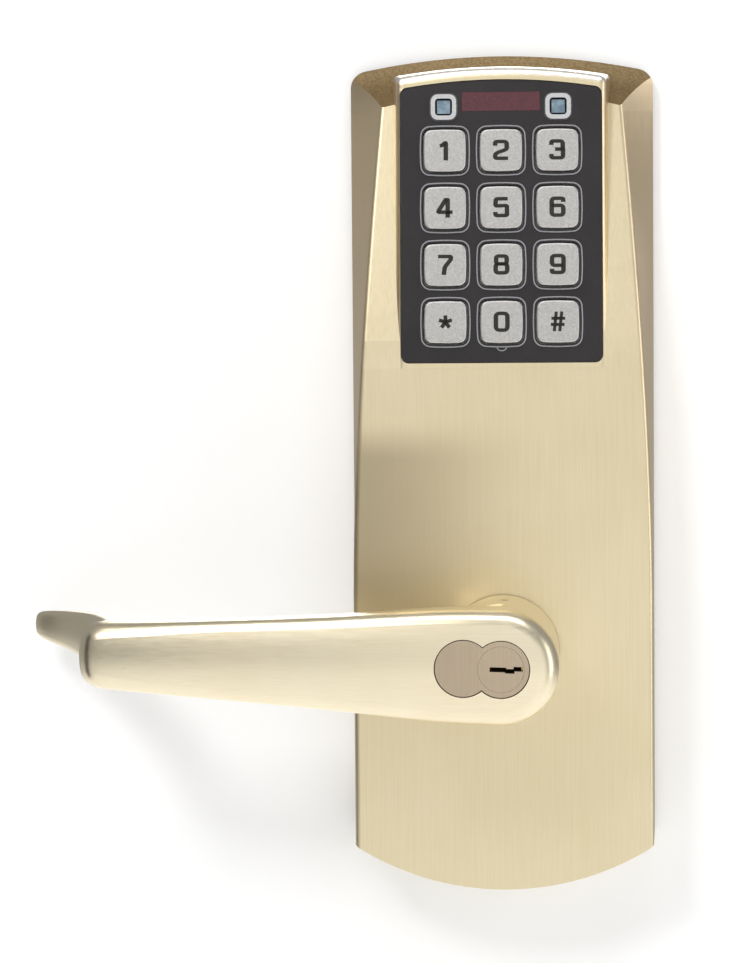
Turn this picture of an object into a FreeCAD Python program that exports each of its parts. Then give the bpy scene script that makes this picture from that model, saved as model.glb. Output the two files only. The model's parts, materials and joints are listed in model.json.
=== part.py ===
"""Keypad lever lock, outside trim: a cast escutcheon with a tilted keypad, a return lever that
holds a figure-eight key core, and the clutch, spring and electronics that work inside it.

Millimetres. The origin is on the spindle's axis, on the door's face. +X is right, +Z is up, and
the door lies on the +Y side, so the lock stands out towards -Y. A depth is a distance from the
door's face towards -Y. The keypad's pieces are drawn in a frame of their own, whose origin is at
the middle of the panel's lower edge: X right, Z up the panel and Y into the panel.
"""
import FreeCAD
import Part
import Sketcher
import math
import os
import re

from FreeCAD import Placement, Rotation, Vector

DIMS = {
    # escutcheon
    "half_width": 42.0, "top_apex": 163.6, "top_radius": 190.0, "top_corner": 5.0,
    "foot_apex": 66.6, "foot_radius": 76.0, "foot_corner": 3.6,
    "rim_depth": 4.0, "body_depth": 25.5, "wall": 2.8, "edge_round": 1.5,
    "lean_start": 70.0, "lean_blend": 20.0, "lean_slope": 0.170,
    "face_half": 41.2, "flank_start": 15.0, "flank_run": 125.0, "flank_narrow": 7.35, "flank_power": 1.65,
    "slope_run": 10.5, "slope_drop": 11.3, "slope_edge": 3.5,
    # door side
    "gasket_thick": 1.0, "gasket_inset": 0.8, "gasket_band": 3.7,
    "plate_inset": 3.1, "plate_thick": 2.0, "hub_hole": 9.6,
    "slot_half": 11.0, "slot_height": 13.0, "slot_low": 84.0,
    "post_radius": 5.0, "post_reach": 20.0, "post_thread": 2.1, "post_thread_deep": 16.0,
    "post_spacing": 34.9, "post_top": 126.0, "post_head": 7.0, "post_head_thick": 1.5,
    "screw_radius": 1.5, "screw_head": 2.9, "screw_long": 8.0,
    "boss_radius": 3.4, "boss_slack": 0.02,
    "low_boss_across": 33.6, "low_boss_at": -38.0, "mid_boss_across": 33.6, "mid_boss_at": 46.0,
    "top_boss_across": 34.4, "top_boss_at": 116.0,
    # keypad frame
    "pad_depth": 24.9, "pad_bottom": 79.2, "pad_tilt": 5.0,
    "panel_half": 27.6, "panel_side": 75.2, "panel_corner": 2.3, "panel_thick": 2.6,
    "rim_proud": 0.35, "block_half": 28.7, "block_apex": 81.0, "block_sag": 2.6, "block_corner": 2.0,
    "block_deep": 15.0, "block_draft": 9.0, "block_bevel": 2.7, "pocket_gap": 0.15,
    "hollow_half": 26.4, "hollow_low": 1.6, "hollow_top": 75.0, "hollow_deep": 12.0,
    # keys
    "column_pitch": 15.4, "row_pitch": 15.7, "first_row": 11.1,
    "key_width": 11.0, "key_height": 11.0, "key_corner": 1.9, "side_bow": 55.0,
    "key_proud": 1.3, "key_dome": 0.45, "key_inner": 3.0, "key_gap": 0.35,
    "key_lip": 12.4, "key_lip_thick": 0.8,
    "ring_width": 13.0, "ring_height": 13.2, "ring_corner": 2.7, "ring_wall": 0.3, "ring_proud": 0.3,
    "ring_step": 0.28, "ring_step_proud": 0.14, "nib_radius": 0.42, "nib_low": 1.1,
    "membrane_front": 4.8, "membrane_thick": 1.0, "membrane_half": 22.0, "membrane_low": 2.4,
    "pad_button": 3.6, "pad_button_top": 3.65,
    "snap_radius": 4.0, "snap_thick": 0.35, "board_front": 6.4, "board_thick": 1.6, "board_half": 25.2,
    "board_low": 2.6, "board_high": 71.9, "panel_boss_across": 24.0, "panel_boss_radius": 1.55,
    "panel_boss_low": 3.6, "panel_boss_high": 66.5, "panel_screw_radius": 0.8,
    # lamps and window
    "lamp_across": 15.7, "lamp_at": 70.2, "lamp_frame": 6.8, "lamp_frame_wall": 1.1, "lamp_frame_proud": 0.75,
    "lamp_flange": 7.5, "lamp_flange_proud": 0.2, "lamp_seat": 1.5,
    "lamp_lens": 3.6, "lamp_lens_proud": 0.1, "lamp_corner": 0.9, "lamp_frame_corner": 1.9,
    "window_half": 10.7, "window_low": 69.1, "window_high": 74.3, "window_thick": 1.6,
    # clamps behind the keypad
    "clamp_front": 9.0, "clamp_thick": 1.2, "clamp_half": 33.0, "clamp_height": 6.0,
    "clamp_low": 18.0, "clamp_high": 56.0, "clamp_boss_across": 30.4, "clamp_boss_radius": 2.2,
    "clamp_screw_radius": 1.0, "clamp_screw_long": 3.0,
    # lever
    "lever_lift": 1.6, "hub_radius": 15.4, "hub_front": 70.4, "hub_back": 26.5,
    "crown_share": 2.6, "corner_share": 0.33, "front_part": 0.55, "back_part": 0.25, "back_crown": 60.0,
    "barrel_front": 50.0, "socket_deep": 9.0, "release_hole": 1.3,
    # core
    "lobe_radius": 7.45, "lobe_offset": 10.0, "core_front": 69.5, "core_long": 32.0, "core_gap": 0.26,
    "plug_radius": 5.3, "plug_face": 6.1, "plug_face_thick": 1.6, "plug_long": 29.0,
    "control_wall": 0.95, "control_front": 67.6, "control_long": 21.0, "run_gap": 0.05,
    "lug_reach": 8.6, "lug_front": 55.0, "lug_long": 5.0, "lug_angle": 48.0, "lug_span": 14.0,
    "lug_throw": 15.0, "pin_count": 7, "pin_pitch": 2.8, "pin_first": 65.6, "pin_radius": 0.85,
    "tail_wide": 3.0, "tail_end": 18.0,
    # drive
    "sleeve_radius": 10.5, "sleeve_bore": 8.2, "sleeve_end": 4.8, "bush_radius": 13.0, "bush_flange": 14.4,
    "bush_back": 17.0, "bush_lip": 0.6, "boss_ring": 17.5, "ring_groove": 9.7, "clip_radius": 12.8,
    "clip_front": 16.7, "clip_thick": 1.2, "collar_radius": 11.9, "collar_flange": 12.6,
    "collar_back": 4.6, "collar_step": 9.4, "collar_front": 15.2, "finger_half": 1.2, "finger_reach": 15.9,
    "finger_inner": 14.25, "finger_arm": 7.9,
    "spring_mean": 13.2, "spring_wire": 1.3, "spring_low": 10.7, "spring_pitch": 1.5, "spring_turns": 2.5,
    "spring_leg": 19.5, "anchor_at": 17.6, "anchor_radius": 1.2, "anchor_top": 15.4,
    "cage_inner": 14.6, "cage_outer": 16.6, "cage_low": 9.6, "cage_high": 16.9, "cage_open": 66.0,
    # clutch
    "pin_at": 6.4, "clutch_radius": 1.5, "foot_inner": 13.0, "foot_outer": 16.0,
    "foot_angle": 58.0, "slider_rise": 3.0,
    "slider_back": 5.4, "slider_front": 7.4, "stem_half": 3.5,
    "nut_half": 4.0, "nut_low": 36.0, "nut_front": 11.8, "thread_radius": 1.5, "thread_at": 9.2,
    "thread_low": 33.0, "motor_radius": 6.0, "motor_low": 50.0, "motor_high": 70.0,
    "bracket_wall": 1.4, "bracket_low": 54.0, "bracket_high": 64.0, "bracket_foot": 12.0,
    "hub_long": 10.2, "hub_rear": 3.6, "shaft_radius": 4.0, "shaft_root": 4.6, "shaft_root_back": 3.0,
    "shaft_front": 9.2, "shaft_step": 12.0, "shaft_reach": 45.0, "shaft_square": 2.8,
    "slot_floor": 6.4, "shield_half": 20.0, "shield_low": 48.0, "shield_high": 74.0, "shield_thick": 1.4,
    "shield_front": 22.6,
}
KEY_NAMES = [["star", "0", "hash"], ["7", "8", "9"], ["4", "5", "6"], ["1", "2", "3"]]
# across, half-height, front depth, back depth and corner share at stations along the lever's arm
ARM_STATIONS = [
    (0.0, 15.40, 70.4, 50.0, 0.33), (-9.0, 15.30, 70.4, 51.0, 0.33), (-20.0, 14.80, 70.2, 54.0, 0.33),
    (-31.0, 13.90, 69.9, 56.2, 0.33), (-42.0, 12.95, 69.5, 57.0, 0.34), (-55.0, 12.00, 68.9, 57.3, 0.35),
    (-70.0, 11.05, 68.2, 57.3, 0.37), (-85.0, 10.20, 67.4, 57.0, 0.42), (-96.0, 9.60, 66.6, 56.6, 0.50),
]
# angle round the elbow, distance of its outer skin from the pivot, half-height and corner share
ELBOW = [(22.0, 12.9, 9.25, 0.58), (45.0, 14.4, 8.9, 0.64), (66.0, 13.6, 8.55, 0.60)]
ELBOW_PIVOT = (-100.6, 53.6)
ELBOW_INNER = 2.4
# outer skin and inner skin across the return, depth, half-height, rise and lag: it flares and narrows upwards
RETURN_SHARE = 0.5
RETURN_STATIONS = [
    (-111.7, -103.0, 50.0, 8.1, 0.1, 0.9), (-112.9, -104.6, 42.0, 7.6, 0.4, 0.9),
    (-115.6, -107.6, 33.0, 6.9, 0.8, 0.9), (-119.9, -112.2, 24.5, 6.0, 1.3, 0.9),
    (-125.0, -118.2, 18.0, 5.1, 1.8, 0.9), (-129.3, -123.4, 14.0, 4.3, 2.2, 0.9),
    (-131.6, -127.6, 11.4, 3.4, 2.5, 0.4),
]

doc = FreeCAD.newDocument("keypad_lever_lock")
sheet = doc.addObject("Spreadsheet::Sheet", "dims")
made = []


def fill_sheet():
    for row, (alias, number) in enumerate(DIMS.items(), 1):
        sheet.set(f"A{row}", alias)
        sheet.set(f"B{row}", str(number))
        sheet.setAlias(f"B{row}", alias)
    doc.recompute()


def size(alias):
    """The number that the sheet holds for an alias."""
    return float(sheet.get(alias))


def formula(text):
    """A formula in aliases, as an expression on the sheet."""
    def named(match):
        word = match.group()
        return "dims." + word if word in DIMS else word

    return re.sub(r"[a-z][a-z_]*", named, str(text))


def bind(item, **formulas):
    """Ties properties of an object to the sheet. A double underscore stands for a dot."""
    for name, text in formulas.items():
        item.setExpression(name.replace("__", "."), formula(text))
    return item


def keep(item, label):
    """Gives a finished sub-part the label that names its file."""
    item.Label = label
    made.append(item)
    return item


# ---------------------------------------------------------------- primitives and booleans
def block(name, across, depth, height):
    """A box from (low, high) formulas across X, in depth from the door and in height."""
    item = doc.addObject("Part::Box", name)
    return bind(item, Length=f"({across[1]}) - ({across[0]})", Width=f"({depth[1]}) - ({depth[0]})",
                Height=f"({height[1]}) - ({height[0]})", Placement__Base__x=across[0],
                Placement__Base__y=f"-({depth[1]})", Placement__Base__z=height[0])


def rod(name, radius, depth, across="0", height="0", start=0.0, angle=None):
    """A cylinder along Y between two depths, whole or a sector that starts at an angle above +X."""
    item = doc.addObject("Part::Cylinder", name)
    item.Placement = Placement(Vector(), Rotation(Vector(0, -1, 0), start) * Rotation(Vector(1, 0, 0), 90))
    bind(item, Radius=radius, Height=f"({depth[1]}) - ({depth[0]})", Placement__Base__x=across,
         Placement__Base__y=f"-({depth[0]})", Placement__Base__z=height)
    if angle is not None:
        bind(item, Angle=angle)
    return item


def bar(name, radius, height, across="0", depth="0"):
    """A cylinder along Z between two heights."""
    item = doc.addObject("Part::Cylinder", name)
    return bind(item, Radius=radius, Height=f"({height[1]}) - ({height[0]})", Placement__Base__x=across,
                Placement__Base__y=f"-({depth})", Placement__Base__z=height[0])


def radial(name, radius, reach, depth):
    """A cylinder along -X between two distances left of the axis, at a depth."""
    item = doc.addObject("Part::Cylinder", name)
    item.Placement = Placement(Vector(), Rotation(Vector(0, 1, 0), -90))
    return bind(item, Radius=radius, Height=f"({reach[1]}) - ({reach[0]})",
                Placement__Base__x=f"-({reach[0]})", Placement__Base__y=f"-({depth})")


def cut(name, base, tool):
    item = doc.addObject("Part::Cut", name)
    item.Base = base
    item.Tool = tool
    return item


def common(name, base, tool):
    item = doc.addObject("Part::Common", name)
    item.Base = base
    item.Tool = tool
    return item


def fuse(name, items):
    item = doc.addObject("Part::MultiFuse", name)
    item.Shapes = items
    return item


def group(name, items):
    item = doc.addObject("Part::Compound", name)
    item.Links = items
    return item


def feature(name, shape):
    item = doc.addObject("Part::Feature", name)
    item.Shape = shape
    return item


def on_keypad(item, across="0", up="0"):
    """Puts an object drawn in the keypad's frame in its place, across and up the panel."""
    item.Placement = Placement(Vector(), Rotation(Vector(1, 0, 0), -size("pad_tilt")))
    return bind(item, Placement__Base__x=across,
                Placement__Base__y=f"-pad_depth + ({up}) * sin(pad_tilt * 1deg)",
                Placement__Base__z=f"pad_bottom + ({up}) * cos(pad_tilt * 1deg)")


def lifted(item):
    """Turns an object drawn level about the spindle to the lever's angle at rest."""
    item.Placement = Placement(Vector(), Rotation(Vector(0, 1, 0), size("lever_lift")))
    return bind(item, Placement__Rotation__Angle="lever_lift")


# ---------------------------------------------------------------- sketched pieces
def new_body(name):
    """A body with a sketch on its XZ plane, whose normal points out of the door."""
    body = doc.addObject("PartDesign::Body", name)
    plane = [item for item in body.Origin.OriginFeatures if item.Role == "XZ_Plane"][0]
    sketch = body.newObject("Sketcher::SketchObject", name + "_sketch")
    sketch.AttachmentSupport = [(plane, "")]
    sketch.MapMode = "FlatFace"
    return body, sketch


def place_number(sketch, kind, where, value, text):
    """Adds a driving constraint whose value follows the sheet."""
    here = sketch.addConstraint(Sketcher.Constraint(kind, *where, value))
    sketch.setExpression(f"Constraints[{here}]", formula(text))


def number(text):
    """The value of a formula in aliases."""
    return float(sheet.evalExpression(formula(text)))


def bowed_loop(sketch, width, height, bow):
    """A rectangle about the sketch's origin whose sides bow outwards with a large radius."""
    x, y, large = number(width) / 2, number(height) / 2, number(bow)
    corners = [(x, -y), (x, y), (-x, y), (-x, -y)]
    first = sketch.GeometryCount
    for k in range(4):
        start, stop = Vector(*corners[k], 0), Vector(*corners[(k + 1) % 4], 0)
        middle = (start + stop) * 0.5
        chord = (stop - start).Length
        out = middle / middle.Length
        bulge = large - math.sqrt(large ** 2 - chord ** 2 / 4)
        sketch.addGeometry(Part.Arc(start, middle + out * bulge, stop), False)
    for k in range(4):
        sketch.addConstraint(Sketcher.Constraint("Coincident", first + k, 2, first + (k + 1) % 4, 1))
    for k, (cx, cy) in enumerate(corners):
        across = (first + k, 1, -1, 1) if cx < 0 else (-1, 1, first + k, 1)
        along = (first + k, 1, -1, 1) if cy < 0 else (-1, 1, first + k, 1)
        place_number(sketch, "DistanceX", across, x, f"({width}) / 2")
        place_number(sketch, "DistanceY", along, y, f"({height}) / 2")
        place_number(sketch, "Radius", (first + k,), large, bow)


def pad(body, sketch, low, high):
    """Pads a sketch between two depths, along its plane's normal."""
    item = body.newObject("PartDesign::Pad", body.Name + "_pad")
    item.Profile = sketch
    bind(item, Length=f"({high}) - ({low})")
    bind(sketch, AttachmentOffset__Base__z=f"({low})")
    doc.recompute()
    return item


def round_edges(body, base, name, radius, wanted):
    """Rounds the edges of a feature that a test picks."""
    names = [f"Edge{k + 1}" for k, edge in enumerate(base.Shape.Edges) if wanted(edge)]
    item = body.newObject("PartDesign::Fillet", name)
    item.Base = (base, names)
    bind(item, Radius=radius)
    doc.recompute()
    return item


def runs_through(edge):
    """Whether an edge is straight and runs along Y."""
    box = edge.BoundBox
    return box.YLength > 0.05 and box.XLength < 1e-4 and box.ZLength < 1e-4


def bowed_prism(name, width, height, corner, low, high, bow="side_bow"):
    """A bowed rectangle padded between two depths, with rounded corners."""
    body, sketch = new_body(name)
    bowed_loop(sketch, width, height, bow)
    solid = pad(body, sketch, low, high)
    return body, round_edges(body, solid, name + "_corners", corner, runs_through)


def key_places():
    """(name, across formula, up formula) of the twelve keys, from the lowest row."""
    for row, names in enumerate(KEY_NAMES):
        for column, name in enumerate(names):
            yield name, f"{column - 1} * column_pitch", f"first_row + {row} * row_pitch"


def panel_screw_places():
    for side in (-1, 1):
        for level, up in enumerate(("panel_boss_low", "panel_boss_high")):
            yield f"{'lr'[side > 0]}{level}", f"{side} * panel_boss_across", up


# ---------------------------------------------------------------- wires for the cast and lofted shapes
def outline_face(inset, depth):
    """The escutcheon's outline, drawn in by an inset, as a face at a depth."""
    half = size("half_width") - inset
    top = size("top_radius") - inset
    foot = size("foot_radius") - inset
    top_centre = size("top_apex") - size("top_radius")
    foot_centre = size("foot_radius") - size("foot_apex")
    high = top_centre + math.sqrt(top ** 2 - half ** 2)
    low = foot_centre - math.sqrt(foot ** 2 - half ** 2)
    y = -depth
    corners = [Vector(-half, y, low), Vector(half, y, low), Vector(half, y, high), Vector(-half, y, high)]
    edges = [Part.Arc(corners[0], Vector(0, y, foot_centre - foot), corners[1]).toShape(),
             Part.LineSegment(corners[1], corners[2]).toShape(),
             Part.Arc(corners[2], Vector(0, y, top_centre + top), corners[3]).toShape(),
             Part.LineSegment(corners[3], corners[0]).toShape()]
    return Part.Face(Part.Wire(edges))


def outline_prism(inset, low, high):
    """The outline between two depths, with its four corners rounded."""
    solid = outline_face(inset, high).extrude(Vector(0, high - low, 0))
    for radius, upper in ((size("top_corner"), True), (size("foot_corner"), False)):
        edges = [e for e in solid.Edges if runs_through(e) and (e.BoundBox.ZMin > 0) == upper]
        solid = solid.makeFillet(max(radius - inset, 0.8), edges)
    return solid


def rounded_wire(points, radii):
    """A closed wire through points, each corner rounded with its own radius (0 keeps it sharp)."""
    count = len(points)
    pieces = []
    for k in range(count):
        here, before, after = points[k], points[k - 1], points[(k + 1) % count]
        if radii[k] <= 0:
            pieces.append((here, here, here))
            continue
        back = (before - here).normalize()
        ahead = (after - here).normalize()
        half = back.getAngle(ahead) / 2
        run = radii[k] / math.tan(half)
        bisector = (back + ahead).normalize()
        middle = here + bisector * (radii[k] / math.sin(half) - radii[k])
        pieces.append((here + back * run, middle, here + ahead * run))
    edges = []
    for k in range(count):
        start, middle, stop = pieces[k]
        if (stop - start).Length > 1e-6:
            edges.append(Part.Arc(start, middle, stop).toShape())
        edges.append(Part.LineSegment(stop, pieces[(k + 1) % count][0]).toShape())
    return Part.Wire(edges)


def front_depth(height):
    """Depth of the escutcheon's front face: flat, then leaning back towards the top."""
    start, blend, slope = size("lean_start"), size("lean_blend"), size("lean_slope")
    run = height - start
    if run <= 0:
        return size("body_depth")
    if run < blend:
        return size("body_depth") - slope * run ** 2 / (2 * blend)
    return size("body_depth") - slope * (run - blend / 2)


def front_half(height):
    """Half of the front face's width, which narrows upwards along a power curve."""
    run = max(height - size("flank_start"), 0.0) / size("flank_run")
    return size("face_half") - size("flank_narrow") * run ** size("flank_power")


def body_section(height, inset):
    """The escutcheon's level section at a height, drawn in by an inset."""
    half = size("half_width") - inset
    front = front_depth(height) - inset
    face = front_half(height) - inset * 0.95
    rim = min(size("rim_depth"), front - 2.0)
    corner = max(size("edge_round") - 0.3 * inset, 0.5)
    below = -8.0
    foot = half + (rim - below) * (half - face) / (front - rim)
    points = [(-foot, below), (foot, below), (face, front), (-face, front)]
    return rounded_wire([Vector(x, -t, height) for x, t in points], [0, 0, corner, corner])


def body_loft(inset):
    """The escutcheon's blank: level sections joined by straight lengths."""
    heights = [-90.0] + [size("flank_start") + k * size("flank_run") / 16 for k in range(21)]
    return Part.makeLoft([body_section(z, inset) for z in heights], True, True)


def above_slope(inset):
    """Everything over the roof-like slope at the escutcheon's top, as an oblique extrusion."""
    run, drop, edge = size("slope_run"), size("slope_drop"), size("slope_edge")
    centre = size("top_apex") - size("top_radius")
    low_by = inset * math.hypot(run, drop) / run
    share = 2.0
    radius = size("top_radius") - drop * share - low_by
    y = -(edge + run * share)
    half = 60.0
    side = centre + math.sqrt(radius ** 2 - half ** 2)
    corners = [Vector(-half, y, side), Vector(half, y, side), Vector(half, y, 300), Vector(-half, y, 300)]
    edges = [Part.Arc(corners[0], Vector(0, y, centre + radius), corners[1]).toShape(),
             Part.LineSegment(corners[1], corners[2]).toShape(),
             Part.LineSegment(corners[2], corners[3]).toShape(),
             Part.LineSegment(corners[3], corners[0]).toShape()]
    return Part.Face(Part.Wire(edges)).extrude(Vector(0, run * (share + 0.9), drop * (share + 0.9)))


def arched_wire(half, low, side, apex, corner_low, corner_high, proud):
    """A panel shape in the keypad's frame: straight sides, an arched top and rounded corners."""
    y = -proud
    corners = [Vector(-half, y, low), Vector(half, y, low), Vector(half, y, side), Vector(-half, y, side)]
    edges = [Part.LineSegment(corners[0], corners[1]).toShape(),
             Part.LineSegment(corners[1], corners[2]).toShape(),
             Part.Arc(corners[2], Vector(0, y, apex), corners[3]).toShape(),
             Part.LineSegment(corners[3], corners[0]).toShape()]
    face = Part.Face(Part.Wire(edges))
    solid = face.extrude(Vector(0, -1, 0))
    for radius, upper in ((corner_low, False), (corner_high, True)):
        if radius > 0:
            picked = [e for e in solid.Edges if runs_through(e) and (e.BoundBox.ZMin > low + 5) == upper]
            solid = solid.makeFillet(radius, picked)
    flat = [f for f in solid.Faces if f.BoundBox.YLength < 1e-6 and abs(f.BoundBox.YMin - y) < 1e-6]
    return flat[0].OuterWire


def arched_prism(half, low, side, apex, corner_low, corner_high, back, front):
    """An arched panel between two depths of the keypad's frame."""
    face = Part.Face(arched_wire(half, low, side, apex, corner_low, corner_high, front))
    return face.extrude(Vector(0, front - back, 0))


def crown_corner(face, side, half, crown, corner):
    """Where a section's corner meets its side, its middle and where it meets the crowned face."""
    centre = face - side * crown
    rise = half - corner
    run = math.sqrt((crown - corner) ** 2 - rise ** 2)
    middle = Vector(centre + side * run, rise, 0)
    out = Vector(side * run, rise, 0).normalize()
    bisector = (out + Vector(0, 1, 0)).normalize()
    return middle + Vector(0, corner, 0), middle + bisector * corner, middle + out * corner


def section_wire(inner, outer, half, share):
    """A lever section between two skin points: crowned front and back, straight sides, rounded corners."""
    way = (outer - inner).normalize()
    thick = (outer - inner).Length
    front_round = min(share * half, size("front_part") * thick)
    back_round = min(size("corner_share") * half, size("back_part") * thick)
    front = crown_corner(thick, 1, half, size("crown_share") * half, front_round)
    back = crown_corner(0.0, -1, half, size("back_crown"), back_round)

    def at(point, side=1):
        return inner + way * point.x + Vector(0, 0, side * point.y)

    edges = [Part.LineSegment(at(back[0]), at(front[0])).toShape(),
             Part.Arc(at(front[0]), at(front[1]), at(front[2])).toShape(),
             Part.Arc(at(front[2]), outer, at(front[2], -1)).toShape(),
             Part.Arc(at(front[2], -1), at(front[1], -1), at(front[0], -1)).toShape(),
             Part.LineSegment(at(front[0], -1), at(back[0], -1)).toShape(),
             Part.Arc(at(back[0], -1), at(back[1], -1), at(back[2], -1)).toShape(),
             Part.Arc(at(back[2], -1), inner, at(back[2])).toShape(),
             Part.Arc(at(back[2]), at(back[1]), at(back[0])).toShape()]
    return Part.Wire(edges)


def lever_sections():
    """The sections along the lever, from the hub's axis to the tip of the return."""
    sections = [section_wire(Vector(x, -back, 0), Vector(x, -front, 0), half, share)
                for x, half, front, back, share in ARM_STATIONS]
    pivot = Vector(ELBOW_PIVOT[0], -ELBOW_PIVOT[1], 0)
    for turn, reach, half, share in ELBOW:
        way = Vector(-math.sin(math.radians(turn)), -math.cos(math.radians(turn)), 0)
        sections.append(section_wire(pivot + way * ELBOW_INNER, pivot + way * reach, half, share))
    for outer, inner, deep, half, rise, lag in RETURN_STATIONS:
        sections.append(section_wire(Vector(inner, lag - deep, rise), Vector(outer, -deep, rise), half,
                                     RETURN_SHARE))
    return sections


def lever_hub():
    """The lever's round end: a barrel whose crowned front carries on the arm's."""
    radius, front, back = size("hub_radius"), size("hub_front"), size("hub_back")
    crown = size("crown_share") * radius
    barrel = Part.makeCylinder(radius, front + 5 - back, Vector(0, -back, 0), Vector(0, -1, 0))
    roll = Part.makeCylinder(crown, 80, Vector(-40, crown - front, 0), Vector(1, 0, 0))
    crowned = barrel.common(roll)
    rim = [e for e in crowned.Edges if e.BoundBox.YMin < -front + 4 and e.BoundBox.XLength > radius]
    rounded = crowned.makeFillet(size("corner_share") * radius, rim)
    step = size("barrel_front")
    right = Part.makeBox(40, 60, 60, Vector(0, -step - 60, -30))
    rear = Part.makeBox(60, step, 60, Vector(-30, -step, -30))
    return rounded.common(right), rounded.common(rear)


# ---------------------------------------------------------------- the escutcheon and its door side
def keypad_surround():
    """The raised block round the keypad, in the keypad's frame: drafted, with a rounded crown."""
    half, apex, proud = size("block_half"), size("block_apex"), size("rim_proud")
    side = apex - size("block_sag")
    deep = size("block_deep")
    grow = deep * math.tan(math.radians(size("block_draft")))
    solid = Part.makeLoft([arched_wire(half, -1.5, side, apex, 0, 0, proud),
                           arched_wire(half + grow, -1.5, side + grow, apex + grow, 0, 0, -deep)], True, True)

    def on_front(edge):
        return edge.BoundBox.YLength < 0.01 and abs(edge.BoundBox.YMin + proud) < 0.01

    crown = [e for e in solid.Edges if on_front(e) and e.BoundBox.ZMin > 60]
    solid = solid.makeFillet(size("block_bevel"), crown)
    corners = [e for e in solid.Edges if e.BoundBox.YLength > 5 and e.BoundBox.ZMin > 60]
    return solid.makeFillet(size("block_corner"), corners)


def make_housing():
    wall = size("wall")
    skin = body_loft(0.0).common(outline_prism(0.0, 1.0, 60.0)).cut(above_slope(0.0))
    inside = body_loft(wall).common(outline_prism(wall, -2.0, 60.0)).cut(above_slope(wall))
    tilt = Placement(Vector(0, -size("pad_depth"), size("pad_bottom")),
                     Rotation(Vector(1, 0, 0), -size("pad_tilt")))
    surround = keypad_surround()
    surround.Placement = tilt
    gap = size("pocket_gap")
    pocket = arched_prism(size("panel_half") + gap, -gap, size("panel_side") + gap,
                          size("panel_side") + 2.4 + gap, size("panel_corner"), size("panel_corner"),
                          -size("panel_thick"), 6.0)
    hollow = arched_prism(size("hollow_half"), size("hollow_low"), size("hollow_top") - 2.4,
                          size("hollow_top"), 2.0, 2.0, -size("hollow_deep"), 0.0)
    opening = pocket.fuse(hollow)
    opening.Placement = tilt
    shell = skin.fuse(surround.common(outline_prism(0.4, 2.0, 60.0))).cut(inside).cut(opening)
    cast = feature("cast_shell", shell)
    solids = [cast]
    for side_name, side in (("l", -1), ("r", 1)):
        for level, across, up in (("low", "low_boss_across", "low_boss_at"),
                                  ("mid", "mid_boss_across", "mid_boss_at"),
                                  ("top", "top_boss_across", "top_boss_at")):
            front = "24" if level != "top" else "10.5"
            solids.append(rod(f"boss_{level}_{side_name}", "boss_radius", ("1 + plate_thick", front),
                              f"{side} * {across}", up))
    solids.append(rod("hub_boss", "boss_ring", ("bush_back", "body_depth - 1")))
    solids.append(rod("spring_anchor", "anchor_radius", ("anchor_top - 5.6", "bush_back + 1"), "0", "anchor_at"))
    clamps = []
    for side_name, side in (("l", -1), ("r", 1)):
        for level, front in (("clamp_low", "-2.5"), ("clamp_high", "-5.4")):
            clamps.append(rod(f"{level}_boss_{side_name}", "clamp_boss_radius",
                              ("-clamp_front", front), f"{side} * clamp_boss_across", level))
    solids.append(on_keypad(fuse("clamp_bosses", clamps)))
    whole = fuse("housing_whole", solids)
    drills = [rod("hub_bore", "bush_radius + boss_slack", ("-1", "body_depth + 5"))]
    for side_name, side in (("l", -1), ("r", 1)):
        for level, across, up in (("low", "low_boss_across", "low_boss_at"),
                                  ("mid", "mid_boss_across", "mid_boss_at"),
                                  ("top", "top_boss_across", "top_boss_at")):
            drills.append(rod(f"drill_{level}_{side_name}", "screw_radius + boss_slack",
                              ("0", "screw_long + 1.5"), f"{side} * {across}", up))
    taps = []
    for side_name, side in (("l", -1), ("r", 1)):
        for level in ("clamp_low", "clamp_high"):
            taps.append(rod(f"{level}_tap_{side_name}", "clamp_screw_radius + boss_slack",
                            ("-clamp_front - 1", "-clamp_front + clamp_screw_long"),
                            f"{side} * clamp_boss_across", level))
    drills.append(on_keypad(group("clamp_taps", taps)))
    return keep(cut("housing", whole, group("housing_drills", drills)), "housing")


def make_gasket():
    inset, band, thick = size("gasket_inset"), size("gasket_band"), size("gasket_thick")
    ring = outline_prism(inset, 0.0, thick).cut(outline_prism(inset + band, -1.0, thick + 1.0))
    keep(feature("gasket", ring), "gasket")


def post_places():
    return [("low", "-post_spacing"), ("mid", "post_spacing"), ("top", "post_top")]


def plate_screw_places():
    for side_name, side in (("l", -1), ("r", 1)):
        for level in ("low", "mid", "top"):
            yield f"{level}_{side_name}", f"{side} * {level}_boss_across", f"{level}_boss_at"


def make_mounting_plate():
    flat = outline_prism(size("plate_inset"), 1.0, 1.0 + size("plate_thick"))
    blank = feature("plate_blank", flat.cut(above_slope(size("wall") + 0.4)))
    tools = [rod("plate_hub_hole", "hub_hole", ("0", "4"))]
    tools += [rod(f"plate_post_{name}", "post_radius + boss_slack", ("0", "4"), "0", up)
              for name, up in post_places()]
    tools += [rod(f"plate_screw_{name}", "screw_radius + 0.2", ("0", "4"), across, up)
              for name, across, up in plate_screw_places()]
    tools.append(block("plate_slot", ("-slot_half", "slot_half"), ("0", "4"),
                       ("slot_low", "slot_low + slot_height")))
    keep(cut("mounting_plate", blank, group("plate_tools", tools)), "mounting_plate")


def make_posts():
    posts = []
    for name, up in post_places():
        stem = rod(f"post_{name}", "post_radius", ("-post_reach", "1 + plate_thick + 0.5"), "0", up)
        head = rod(f"post_head_{name}", "post_head", ("1 + plate_thick", "1 + plate_thick + post_head_thick"),
                   "0", up)
        tap = rod(f"post_tap_{name}", "post_thread", ("-post_reach - 1", "-post_reach + post_thread_deep"),
                  "0", up)
        posts.append(cut(f"post_bored_{name}", fuse(f"post_solid_{name}", [stem, head]), tap))
    keep(group("mounting_posts", posts), "mounting_posts")


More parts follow.
